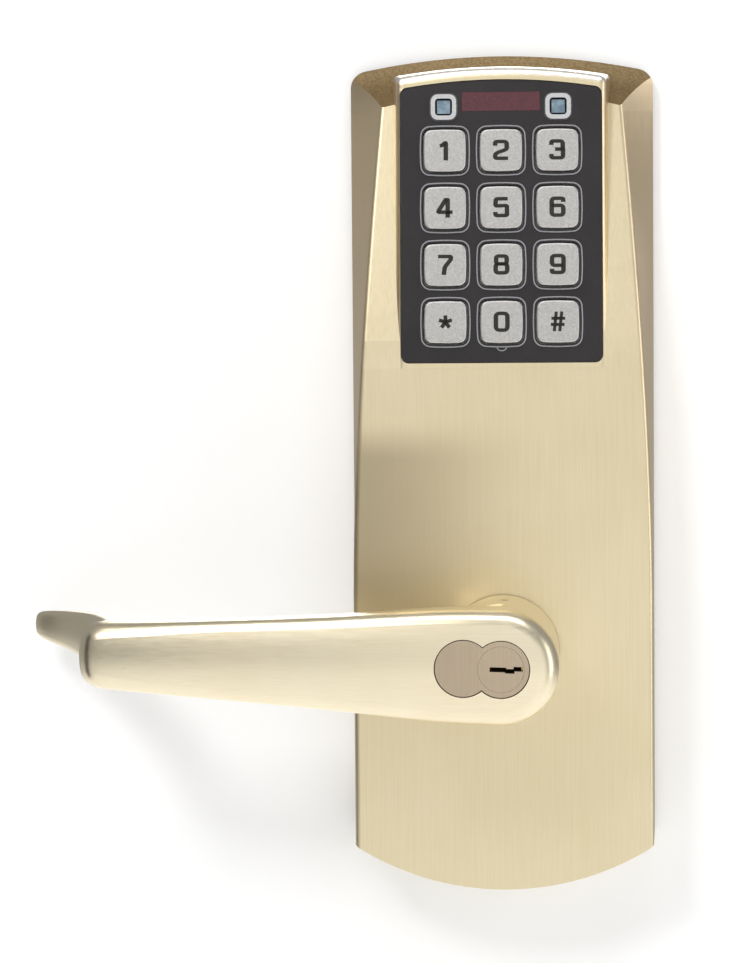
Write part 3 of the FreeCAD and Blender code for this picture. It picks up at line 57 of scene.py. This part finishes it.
# ---------------------------------------------------------------- node helpers
class Shader:
    """A material's node tree with short ways to add to it."""

    def __init__(self, name):
        self.material = bpy.data.materials.new(name)
        self.material.use_nodes = True
        self.tree = self.material.node_tree
        self.tree.nodes.clear()
        self.output = self.tree.nodes.new("ShaderNodeOutputMaterial")
        self.surface = self.tree.nodes.new("ShaderNodeBsdfPrincipled")
        self.join(self.surface.outputs[0], self.output.inputs["Surface"])

    def join(self, out, into):
        """Links an output to an input."""
        self.tree.links.new(out, into)

    def node(self, kind, **values):
        """A new node with some of its settings."""
        item = self.tree.nodes.new(kind)
        for key, value in values.items():
            setattr(item, key, value)
        return item

    def value(self, socket, number):
        """Sets one input of the surface."""
        self.surface.inputs[socket].default_value = number

    def place(self, scale):
        """Object coordinates, stretched by a scale along each axis."""
        source = self.node("ShaderNodeTexCoord")
        mapping = self.node("ShaderNodeMapping")
        mapping.inputs["Scale"].default_value = scale
        self.join(source.outputs["Object"], mapping.inputs["Vector"])
        return mapping.outputs[0]

    def noise(self, scale, detail=3.0, rough=0.55, stretch=(1.0, 1.0, 1.0)):
        """Noise in object coordinates, in cells per metre."""
        item = self.node("ShaderNodeTexNoise")
        item.inputs["Scale"].default_value = scale
        item.inputs["Detail"].default_value = detail
        item.inputs["Roughness"].default_value = rough
        self.join(self.place(stretch), item.inputs["Vector"])
        return item.outputs["Fac"]

    def spread(self, source, low_in, high_in, low_out=0.0, high_out=1.0):
        """Maps one range smoothly onto another."""
        item = self.node("ShaderNodeMapRange", interpolation_type="SMOOTHSTEP")
        for slot, number in zip((1, 2, 3, 4), (low_in, high_in, low_out, high_out)):
            item.inputs[slot].default_value = number
        self.join(source, item.inputs[0])
        return item.outputs[0]

    def math(self, how, a, b=None):
        """One sum of numbers or outputs."""
        item = self.node("ShaderNodeMath", operation=how)
        for slot, source in ((0, a), (1, b)):
            if source is None:
                continue
            if isinstance(source, (int, float)):
                item.inputs[slot].default_value = source
            else:
                self.join(source, item.inputs[slot])
        return item.outputs[0]

    def multiply(self, *sources):
        """The product of numbers or outputs."""
        result = sources[0]
        for source in sources[1:]:
            result = self.math("MULTIPLY", result, source)
        return result

    def mix(self, factor, a, b):
        """Mixes two colours, each a tuple or an output."""
        item = self.node("ShaderNodeMix", data_type="RGBA")
        self.join(factor, item.inputs[0])
        for slot, source in ((6, a), (7, b)):
            if isinstance(source, tuple):
                item.inputs[slot].default_value = (*source, 1.0)
            else:
                self.join(source, item.inputs[slot])
        return item.outputs[2]

    def bump(self, height, strength, distance, before=None):
        """A normal with a fine relief, on top of another normal where one is given."""
        item = self.node("ShaderNodeBump")
        item.inputs["Strength"].default_value = strength
        item.inputs["Distance"].default_value = distance
        self.join(height, item.inputs["Height"])
        if before is not None:
            self.join(before, item.inputs["Normal"])
        return item.outputs[0]

    def part(self, output, index):
        """X, Y or Z of a vector."""
        item = self.node("ShaderNodeSeparateXYZ")
        self.join(output, item.inputs[0])
        return item.outputs[index]

    def into_panel(self, output):
        """How far a vector runs into the keypad's panel."""
        item = self.node("ShaderNodeVectorMath", operation="DOT_PRODUCT")
        self.join(output, item.inputs[0])
        item.inputs[1].default_value = INTO_PANEL
        return item.outputs["Value"]

    def turned_from_panel(self, low, high):
        """1 where the surface turns away from the keypad's face, 0 where it lies along it."""
        facing = self.into_panel(self.node("ShaderNodeNewGeometry").outputs["Normal"])
        return self.spread(self.math("ABSOLUTE", facing), low, high, 1.0, 0.0)

    def raised(self, node, drop):
        """1 on the foremost faces of a keypad piece, 0 where they lie more than drop behind."""
        depth = self.into_panel(self.node("ShaderNodeTexCoord").outputs["Object"])
        front = foremost(node)
        return self.spread(depth, front + 0.9 * drop, front + 1.1 * drop, 1.0, 0.0)


# ---------------------------------------------------------------- kinds of finish
BRUSHING_DEPTH = 0.02 * MM
GRAIN_DEPTH = 0.03 * MM
CAST_DEPTH = 0.06 * MM


def brushed_metal(name, light, dark, stretch, roughness=(0.30, 0.42), bump=0.12, blotch=25.0):
    """Satin metal with fine brushing along one axis."""
    s = Shader(name)
    s.value("Metallic", 1.0)
    streak = s.noise(1.0, 4.0, 0.6, stretch)
    cloud = s.noise(blotch, 3.0, 0.5)
    tone = s.math("ADD", s.multiply(s.spread(streak, 0.25, 0.75), 0.55),
                  s.multiply(s.spread(cloud, 0.3, 0.7), 0.45))
    s.join(s.mix(tone, dark, light), s.surface.inputs["Base Color"])
    s.join(s.spread(streak, 0.2, 0.8, *roughness), s.surface.inputs["Roughness"])
    s.join(s.bump(streak, bump, BRUSHING_DEPTH), s.surface.inputs["Normal"])
    return s


def plain_metal(name, light, dark, roughness=(0.28, 0.42), scale=900.0, bump=0.1):
    """Plated or machined metal with a fine even grain."""
    s = Shader(name)
    s.value("Metallic", 1.0)
    grain = s.noise(scale, 4.0, 0.6)
    s.join(s.mix(s.spread(grain, 0.3, 0.7), dark, light), s.surface.inputs["Base Color"])
    s.join(s.spread(grain, 0.3, 0.7, *roughness), s.surface.inputs["Roughness"])
    s.join(s.bump(grain, bump, GRAIN_DEPTH), s.surface.inputs["Normal"])
    return s.material


def moulded(name, light, dark, roughness=(0.40, 0.55), scale=1500.0, bump=0.15, coat=0.0):
    """Moulded plastic or rubber with a fine grain."""
    s = Shader(name)
    grain = s.noise(scale, 4.0, 0.6)
    cloud = s.noise(60.0, 2.0, 0.5)
    tone = s.multiply(grain, cloud)
    s.join(s.mix(s.spread(tone, 0.1, 0.4), dark, light), s.surface.inputs["Base Color"])
    s.join(s.spread(grain, 0.3, 0.7, *roughness), s.surface.inputs["Roughness"])
    s.join(s.bump(grain, bump, GRAIN_DEPTH), s.surface.inputs["Normal"])
    s.value("Coat Weight", coat)
    return s.material


# ---------------------------------------------------------------- the object's materials
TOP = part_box("housing")[1][2]
TOP_RADIUS = 190.0 * MM
SLOPE_EDGE = 3.5 * MM
SLOPE_RATE = 10.5 / 11.3
FLANK_TINT = (0.97, 0.79, 0.53)
# Painted highlight: near-white tint on the upward-facing crown of the keypad's surround, where the light from
# above falls.
CROWN_HIGHLIGHT_TINT = (1.0, 0.95, 0.86)
# Painted shade: a dark patch on the plate, to the left above the lever, standing in for the lever's dark
# reflection; the share below sets how strongly it is laid on.
PAINTED_SHADE_TINT = (0.36, 0.29, 0.18)
PAINTED_SHADE_SHARE = 0.68
# Painted shade: darker brown towards the foot of the cast slope, in the crease where it meets the keypad's block.
SLOPE_FOOT_SHADE = (0.13, 0.085, 0.035)


def below_top(s, across, height):
    """Distance down from the casting's arched top edge."""
    arch = s.multiply(across, across, -0.5 / TOP_RADIUS)
    return s.math("SUBTRACT", s.math("ADD", arch, TOP), height)


def escutcheon_masks(s):
    """Masks from 0 to 1 of the cast slope, the painted shade at its foot, the painted highlight on the crown, the
    flanks and the painted shade patch above the lever.
    """
    place = s.node("ShaderNodeTexCoord").outputs["Object"]
    facing = s.node("ShaderNodeNewGeometry").outputs["True Normal"]
    across, height = s.part(place, 0), s.part(place, 2)
    depth = s.multiply(s.part(place, 1), -1.0)
    sideways, upward = s.math("ABSOLUTE", s.part(facing, 0)), s.part(facing, 2)
    below = below_top(s, across, height)
    proud = s.math("SUBTRACT", s.math("SUBTRACT", depth, SLOPE_EDGE), s.multiply(below, SLOPE_RATE))
    slope = s.multiply(s.spread(upward, 0.40, 0.60), s.spread(height, 0.142, 0.146),
                       s.spread(proud, 0.6 * MM, 1.6 * MM, 1.0, 0.0))
    # Painted shade, deepening down the slope towards its foot.
    foot = s.spread(below, 1.0 * MM, 7.5 * MM, 0.0, 0.55)
    # Painted highlight on the upward-facing crown.
    crown_highlight = s.multiply(s.spread(upward, 0.15, 0.40), s.spread(height, 0.146, 0.149))
    flank = s.multiply(s.spread(sideways, 0.25, 0.55), s.spread(height, -0.02, 0.10))
    # Painted shade on the plate to the left above the lever, standing in for the lever's dark reflection.
    painted_shade_patch = s.multiply(s.spread(across, -0.040, 0.012, 1.0, 0.0), s.spread(height, 0.052, 0.064, 1.0, 0.0),
                       s.spread(height, 0.000, 0.020), PAINTED_SHADE_SHARE)
    return slope, foot, crown_highlight, flank, painted_shade_patch


def escutcheon_brass():
    """Brushed brass whose cast slope is darker and grainier than its face, with painted light laid on: a highlight
    on the crown, shade at the slope's foot and a shaded patch above the lever.
    """
    s = brushed_metal("escutcheon_brass", (0.88, 0.77, 0.53), (0.80, 0.68, 0.44), (2600.0, 2600.0, 45.0),
                      (0.34, 0.44), 0.10)
    colour, rough, normal = (s.surface.inputs[socket].links[0].from_socket
                             for socket in ("Base Color", "Roughness", "Normal"))
    slope, foot, crown_highlight, flank, painted_shade_patch = escutcheon_masks(s)
    cast = s.noise(1400.0, 3.0, 0.7)
    brown = s.mix(s.spread(cast, 0.35, 0.65), (0.27, 0.19, 0.095), (0.40, 0.29, 0.155))
    brown = s.mix(foot, brown, SLOPE_FOOT_SHADE)
    # Laid on in turn: the painted shade patch, the flank tint, the painted crown highlight and the cast slope's
    # brown.
    for mask, tint in ((painted_shade_patch, PAINTED_SHADE_TINT), (flank, FLANK_TINT), (crown_highlight, CROWN_HIGHLIGHT_TINT), (slope, brown)):
        colour = s.mix(mask, colour, tint)
    s.join(colour, s.surface.inputs["Base Color"])
    s.join(s.math("ADD", rough, s.multiply(slope, 0.12)), s.surface.inputs["Roughness"])
    s.join(s.bump(s.multiply(cast, slope), 0.5, CAST_DEPTH, normal), s.surface.inputs["Normal"])
    return s.material


def key_silver():
    """Cast keys with a coarse satin grain and a painted highlight on their edges."""
    s = Shader("key_silver")
    s.value("Metallic", 0.75)
    grain = s.noise(3300.0, 3.0, 0.75)
    coarse = s.noise(1300.0, 3.0, 0.6)
    tone = s.math("ADD", s.multiply(grain, 0.75), s.multiply(coarse, 0.25))
    cast = s.mix(s.spread(tone, 0.30, 0.70), (0.42, 0.41, 0.395), (0.68, 0.665, 0.64))
    # Painted highlight: near-white where the key's surface turns away from the panel's face, standing in for the
    # glint on its bevels.
    edge = s.turned_from_panel(0.60, 0.985)
    s.join(s.mix(edge, cast, (0.95, 0.94, 0.92)), s.surface.inputs["Base Color"])
    s.join(s.spread(grain, 0.3, 0.7, 0.38, 0.55), s.surface.inputs["Roughness"])
    s.join(s.bump(grain, 0.35, GRAIN_DEPTH), s.surface.inputs["Normal"])
    return s.material


def rim_grey(name, node, drop, dark, light):
    """Moulded rims: dark in their step, light on the raised line around them; on the key rims that light line is a
    painted highlight, standing in for the glint along the rims' edges.
    """
    s = Shader(name)
    grain = s.noise(1500.0, 3.0, 0.6)
    dimmer_light = tuple(0.75 * part for part in light)
    s.join(s.mix(s.raised(node, drop), dark, s.mix(grain, dimmer_light, light)), s.surface.inputs["Base Color"])
    s.join(s.spread(grain, 0.3, 0.7, 0.22, 0.34), s.surface.inputs["Roughness"])
    return s.material


def clear_plastic(name, cells, reach, dark, light, rough, coat):
    """Glossy tinted plastic under a clear coat, given by its weight and roughness."""
    s = Shader(name)
    cloud = s.noise(cells, 2.0, 0.5)
    s.join(s.mix(s.spread(cloud, *reach), dark, light), s.surface.inputs["Base Color"])
    s.value("Roughness", rough)
    s.value("Coat Weight", coat[0])
    s.value("Coat Roughness", coat[1])
    return s.material


LEGEND = moulded("legend_ink", (0.018, 0.013, 0.011), (0.010, 0.007, 0.006), (0.45, 0.6))
# The key rims' light raised line is a painted highlight for the glint along their edges.
RIM = rim_grey("rim_print", "key_rims", 0.1 * MM, (0.020, 0.018, 0.021), (0.36, 0.355, 0.375))
FINISHES = {
    "satin_brass": escutcheon_brass(),
    "lever_brass": brushed_metal("lever_brass", (0.96, 0.87, 0.66), (0.90, 0.79, 0.56),
                                 (45.0, 2600.0, 2600.0), (0.27, 0.36), 0.08).material,
    "core_bronze": brushed_metal("core_bronze", (0.61, 0.50, 0.365), (0.50, 0.40, 0.285),
                                 (2200.0, 2200.0, 60.0), (0.30, 0.42), 0.15).material,
    "yellow_brass": plain_metal("yellow_brass", (0.80, 0.62, 0.30), (0.66, 0.48, 0.20)),
    "bronze": plain_metal("sintered_bronze", (0.52, 0.36, 0.20), (0.40, 0.27, 0.15), (0.4, 0.6), 1800.0, 0.3),
    "steel": plain_metal("plated_steel", (0.66, 0.66, 0.65), (0.52, 0.52, 0.52)),
    "dark_steel": plain_metal("dark_steel", (0.22, 0.22, 0.23), (0.13, 0.13, 0.14)),
    "silver_key": key_silver(),
    "rim_print": RIM,
    "lamp_silver": rim_grey("lamp_silver", "lamp_frames", 0.35 * MM, (0.085, 0.08, 0.085),
                            (0.66, 0.66, 0.67)),
    "black_panel": moulded("panel_charcoal", (0.018, 0.014, 0.016), (0.009, 0.007, 0.008), (0.40, 0.52),
                           1900.0, 0.2),
    "gasket_rubber": moulded("gasket_rubber", (0.030, 0.030, 0.030), (0.018, 0.018, 0.018), (0.6, 0.8)),
    "silicone": moulded("silicone", (0.62, 0.62, 0.60), (0.50, 0.50, 0.49), (0.45, 0.6)),
    "board_green": moulded("board_green", (0.03, 0.16, 0.07), (0.015, 0.10, 0.045), (0.25, 0.4),
                           500.0, 0.1, 0.3),
    "chip_black": moulded("chip_black", (0.030, 0.030, 0.031), (0.016, 0.016, 0.017), (0.4, 0.55)),
    "nylon": moulded("nylon", (0.78, 0.77, 0.72), (0.66, 0.65, 0.60), (0.4, 0.55)),
    "led_white": moulded("led_white", (0.84, 0.84, 0.76), (0.74, 0.74, 0.66), (0.2, 0.3)),
    "red_window": clear_plastic("window_red", 2600.0, (0.35, 0.65), (0.055, 0.008, 0.014),
                                (0.12, 0.014, 0.026), 0.22, (0.5, 0.1)),
    "lamp_lens": clear_plastic("lamp_glass", 500.0, (0.3, 0.7), (0.13, 0.20, 0.26), (0.26, 0.36, 0.43),
                               0.18, (0.6, 0.08)),
}
for entry in frame["record"]["subparts"]:
    for place in NODES[entry["node"]].material_slots:
        place.material = FINISHES[entry["material_slot"]]


def ease_edges(node, width, angle, segments):
    """Breaks the sharp edges of a cast piece."""
    item = NODES[node].modifiers.new("eased", "BEVEL")
    item.width = width
    item.segments = segments
    item.limit_method = "ANGLE"
    item.angle_limit = math.radians(angle)
    item.use_clamp_overlap = True


ease_edges("housing", 1.3 * MM, 26.0, 3)
ease_edges("lamp_frames", 0.15 * MM, 40.0, 2)


# ---------------------------------------------------------------- pieces in mesh
def mesh_piece(name, points, faces, material, body):
    """A visible piece that rides one of the frame's bodies."""
    mesh = bpy.data.meshes.new(name)
    mesh.from_pydata([tuple(p) for p in points], [], faces)
    mesh.validate()
    mesh.update()
    item = bpy.data.objects.new(name, mesh)
    bpy.context.scene.collection.objects.link(item)
    mesh.materials.append(material)
    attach(item, body)


def eased(points, radius, closed, steps=5):
    """A polyline with its corners eased."""
    count = len(points)
    result = []
    for k in range(count):
        here = Vector(points[k])
        if not closed and k in (0, count - 1):
            result.append(here)
            continue
        before, after = Vector(points[k - 1]), Vector(points[(k + 1) % count])
        run = min(radius, (before - here).length * 0.49, (after - here).length * 0.49)
        start = here + (before - here).normalized() * run
        stop = here + (after - here).normalized() * run
        for j in range(steps + 1):
            share = j / steps
            result.append(start.lerp(here, share).lerp(here.lerp(stop, share), share))
    return result


def stroke(points, pen, closed):
    """Left and right edges of a stroke along a polyline, for a pen that is wider across than up."""
    count = len(points)
    left, right = [], []
    for k in range(count):
        before = points[k - 1] if closed or k > 0 else None
        after = points[(k + 1) % count] if closed or k < count - 1 else None
        ways = []
        if before is not None:
            ways.append((points[k] - before).normalized())
        if after is not None:
            ways.append((after - points[k]).normalized())
        normals = [Vector((-way.y, way.x)) for way in ways]
        side = sum(normals, Vector((0.0, 0.0))).normalized()
        reach = side / max(side.dot(normals[0]), 0.5)
        offset = Vector((reach.x * pen[0], reach.y * pen[1])) / 2
        left.append(points[k] + offset)
        right.append(points[k] - offset)
    return left, right


def ribbon(centre, line, pen, closed, depths, first=0):
    """Points and faces of a raised stroke, in mm round a centre; depths are those of its top and its foot."""
    left, right = stroke(line, pen, closed)
    points = [centre + (ACROSS * p.x + UP_PANEL * p.y + INTO_PANEL * depth) * MM
              for depth in depths for p in left + right]
    count = len(line)
    low = 2 * count
    faces = []
    for k in range(count if closed else count - 1):
        a, b = first + k, first + (k + 1) % count
        faces.append((a, b, b + count, a + count))
        faces.append((a, a + low, b + low, b))
        faces.append((a + count, b + count, b + count + low, a + count + low))
    if not closed:
        a, b = first, first + count - 1
        faces.append((a, a + count, a + count + low, a + low))
        faces.append((b, b + low, b + count + low, b + count))
    return points, faces


# Each legend is a list of strokes: its corner points in mm, how far they are eased, and whether it closes.
W, H = 1.58, 2.30
STAR_ARMS = [(math.cos(math.radians(90 + 72 * k)), math.sin(math.radians(90 + 72 * k))) for k in range(5)]
LEGENDS = {
    "1": [([(-1.35, 1.25), (-0.75, 1.35), (0.30, 2.25), (0.30, -2.75)], 0.5, False)],
    "2": [([(-W, 1.15), (-W, H), (W, H), (W, 0.25), (0.9, -0.1), (-0.9, -0.7), (-W, -1.2), (-W, -H),
            (1.95, -H)], 0.85, False)],
    "3": [([(-W, 1.25), (-W, H), (1.5, H), (1.5, 0.05), (W, 0.05), (W, -H), (-W, -H), (-W, -1.25)],
           0.8, False),
          ([(-0.6, 0.08), (1.3, 0.08)], 0.0, False)],
    "4": [([(0.75, -2.75), (0.75, 2.2), (0.2, 2.2), (-1.75, -0.9), (-1.75, -1.25), (2.1, -1.25)],
           0.15, False)],
    "5": [([(1.8, H), (-1.45, H), (-W, 0.35), (W, 0.45), (W, -H), (-W, -H), (-W, -1.3)], 0.5, False)],
    "6": [([(W, 1.3), (W, H), (-W, H), (-W, -H), (W, -H), (W, 0.35), (-W, 0.35)], 0.85, False)],
    "7": [([(-1.95, H), (W, H), (W, 1.5), (-0.1, -0.6), (-0.4, -2.75)], 0.5, False)],
    "8": [([(-1.45, H), (1.45, H), (1.45, 0.15), (-1.45, 0.15)], 0.75, True),
          ([(-W, 0.15), (W, 0.15), (W, -H), (-W, -H)], 0.85, True)],
    "9": [([(-W, -1.3), (-W, -H), (W, -H), (W, H), (-W, H), (-W, -0.35), (W, -0.35)], 0.85, False)],
    "0": [([(-W, H), (W, H), (W, -H), (-W, -H)], 1.1, True)],
    "star": [([(0.0, 0.0), (1.85 * x, 1.85 * y)], 0.0, False) for x, y in STAR_ARMS],
    "hash": [([(-1.05, -2.7), (-0.45, 2.7)], 0.0, False), ([(0.45, -2.7), (1.05, 2.7)], 0.0, False),
             ([(-1.8, 0.85), (1.95, 0.85)], 0.0, False), ([(-1.95, -0.85), (1.8, -0.85)], 0.0, False)],
}
LEGEND_DEPTHS = (-0.035, 0.05)
PEN = (1.25, 0.98)
PENS = {"star": (1.05, 1.0), "hash": (0.85, 0.85)}


def front_face(node):
    """Centre of a key's front face, which is the part of it that lies farthest out of the panel."""
    spots = [v.co.copy() for v in NODES[node].data.vertices]
    for nearest in sorted(p.dot(INTO_PANEL) for p in spots):
        flat = [p for p in spots if abs(p.dot(INTO_PANEL) - nearest) < 0.02 * MM]
        across = [p.dot(ACROSS) for p in flat]
        if max(across) - min(across) > 5.0 * MM:
            break
    up = [p.dot(UP_PANEL) for p in flat]
    return (ACROSS * (min(across) + max(across)) / 2 + UP_PANEL * (min(up) + max(up)) / 2
            + INTO_PANEL * nearest)


def add_legend(key):
    """The raised digit or sign on one key."""
    centre = front_face("key_" + key)
    pen = PENS.get(key, PEN)
    points, faces = [], []
    for path, easing, closed in LEGENDS[key]:
        line = eased(path, easing, closed) if easing else [Vector(p) for p in path]
        more_points, more_faces = ribbon(centre, line, pen, closed, LEGEND_DEPTHS, len(points))
        points += more_points
        faces += more_faces
    mesh_piece("legend_" + key, points, faces, LEGEND, "button_" + key)


for key in KEYS:
    add_legend(key)

TAB_HALF, TAB_DROP, TAB_RISE, TAB_LINE = 1.30, 1.0, 0.1, 0.28
TAB_DEPTHS = (0.03, 0.36)


def add_rim_tab():
    """Small half-round tab moulded under the rim of the 0 key."""
    low = min(v.co.dot(UP_PANEL) for v in NODES["key_rims"].data.vertices)
    across = front_face("key_0").dot(ACROSS)
    centre = ACROSS * across + UP_PANEL * low + INTO_PANEL * foremost("key_rims")
    turns = [math.radians(180.0 + 15.0 * k) for k in range(13)]
    line = [Vector((TAB_HALF * math.cos(turn), TAB_DROP * math.sin(turn) + TAB_RISE)) for turn in turns]
    points, faces = ribbon(centre, line, (TAB_LINE, TAB_LINE), False, TAB_DEPTHS)
    mesh_piece("rim_tab", points, faces, RIM, "escutcheon")


add_rim_tab()


# ---------------------------------------------------------------- stage, lights and camera
def plane(name, corners, material):
    """One flat board of the stage."""
    mesh = bpy.data.meshes.new(name)
    mesh.from_pydata(corners, [], [(0, 1, 2, 3)])
    item = bpy.data.objects.new(name, mesh)
    bpy.context.scene.collection.objects.link(item)
    mesh.materials.append(material)
    return item


def wall_white():
    """White paint that shows from the front only."""
    s = Shader("stage_wall")
    cloud = s.noise(3.0, 2.0, 0.5)
    s.join(s.mix(cloud, (0.86, 0.86, 0.86), (0.88, 0.88, 0.88)), s.surface.inputs["Base Color"])
    s.value("Roughness", 0.9)
    s.value("Emission Color", (1.0, 1.0, 1.0, 1.0))
    s.value("Emission Strength", 0.23)
    geometry = s.node("ShaderNodeNewGeometry")
    clear = s.node("ShaderNodeBsdfTransparent")
    chosen = s.node("ShaderNodeMixShader")
    s.join(geometry.outputs["Backfacing"], chosen.inputs[0])
    s.join(s.surface.outputs[0], chosen.inputs[1])
    s.join(clear.outputs[0], chosen.inputs[2])
    s.join(chosen.outputs[0], s.output.inputs["Surface"])
    return s.material


def card_black():
    """Matt black board."""
    s = Shader("stage_card")
    weave = s.noise(200.0, 2.0, 0.5)
    s.join(s.mix(weave, (0.010, 0.010, 0.010), (0.016, 0.016, 0.016)), s.surface.inputs["Base Color"])
    s.value("Roughness", 0.9)
    return s.material


DOOR_AT = 0.6 * MM
FLOOR_AT = -0.62
CARD_AT = -0.75
WALL = wall_white()
wall = plane("stage_wall", [(x, DOOR_AT, z) for x, z in ((-3, -1.2), (3, -1.2), (3, 2.6), (-3, 2.6))], WALL)
wall.visible_glossy = False
plane("stage_floor", [(x, y, FLOOR_AT) for x, y in ((-3, -4), (3, -4), (3, 3), (-3, 3))], WALL)
card = plane("stage_card", [(CARD_AT, y, z) for y, z in ((-0.40, -0.55), (-0.02, -0.55), (-0.02, 0.45),
                                                         (-0.40, 0.45))], card_black())
card.visible_camera = False


def area(name, at, target, size, power):
    """A white soft light that faces a target."""
    light = bpy.data.lights.new(name, "AREA")
    light.shape = "RECTANGLE"
    light.size, light.size_y = size
    light.energy = power
    item = bpy.data.objects.new(name, light)
    item.location = at
    item.rotation_mode = "QUATERNION"
    item.rotation_quaternion = (Vector(target) - Vector(at)).to_track_quat("-Z", "Y")
    bpy.context.scene.collection.objects.link(item)


MIDDLE = (0.0, 0.0, 0.05)
KEYPAD_MIDDLE = (0.0, 0.0, 0.12)
area("light_key", (-0.55, -1.1, 0.95), MIDDLE, (0.34, 0.34), 6.8)
area("light_front", (0.35, -1.7, 0.1), MIDDLE, (1.6, 1.6), 4.5)
area("light_top", (0.0, -0.45, 1.15), KEYPAD_MIDDLE, (0.9, 0.35), 4.0)
area("light_right", (1.3, -0.5, 0.2), MIDDLE, (0.5, 1.2), 3.4)
area("light_back", (0.3, 1.6, 0.9), MIDDLE, (1.4, 1.4), 30.0)


SKY_STRENGTH = 0.30


def sky():
    """Even white light from all round."""
    world = bpy.data.worlds.new("sky")
    bpy.context.scene.world = world
    world.use_nodes = True
    background = world.node_tree.nodes["Background"]
    background.inputs["Color"].default_value = (1.0, 1.0, 1.0, 1.0)
    background.inputs["Strength"].default_value = SKY_STRENGTH


sky()


def aim(yaw, pitch, roll):
    """Rotation of a camera that looks along +Y, then turns and rolls."""
    y, p, r = (math.radians(value) for value in (yaw, pitch, roll))
    ahead = Vector((math.sin(y) * math.cos(p), math.cos(y) * math.cos(p), math.sin(p)))
    right = Vector((math.cos(y), -math.sin(y), 0.0))
    up = right.cross(ahead)
    turned = right * math.cos(r) + up * math.sin(r)
    raised = up * math.cos(r) - right * math.sin(r)
    return Matrix((turned, raised, -ahead)).transposed().to_quaternion()


CAMERA_AT = (0.0157, -1.014, 0.1163)
CAMERA_TURN = (-2.97, -4.02, -0.47)
CAMERA_LENS, CAMERA_SENSOR = 134.95, 36.0
camera = bpy.data.objects.new("camera", bpy.data.cameras.new("camera"))
camera.data.lens = CAMERA_LENS
camera.data.sensor_width = CAMERA_SENSOR
camera.data.clip_start = 0.05
camera.location = CAMERA_AT
camera.rotation_mode = "QUATERNION"
camera.rotation_quaternion = aim(*CAMERA_TURN)
bpy.context.scene.collection.objects.link(camera)
bpy.context.scene.camera = camera
bpy.context.scene.view_settings.view_transform = "Standard"
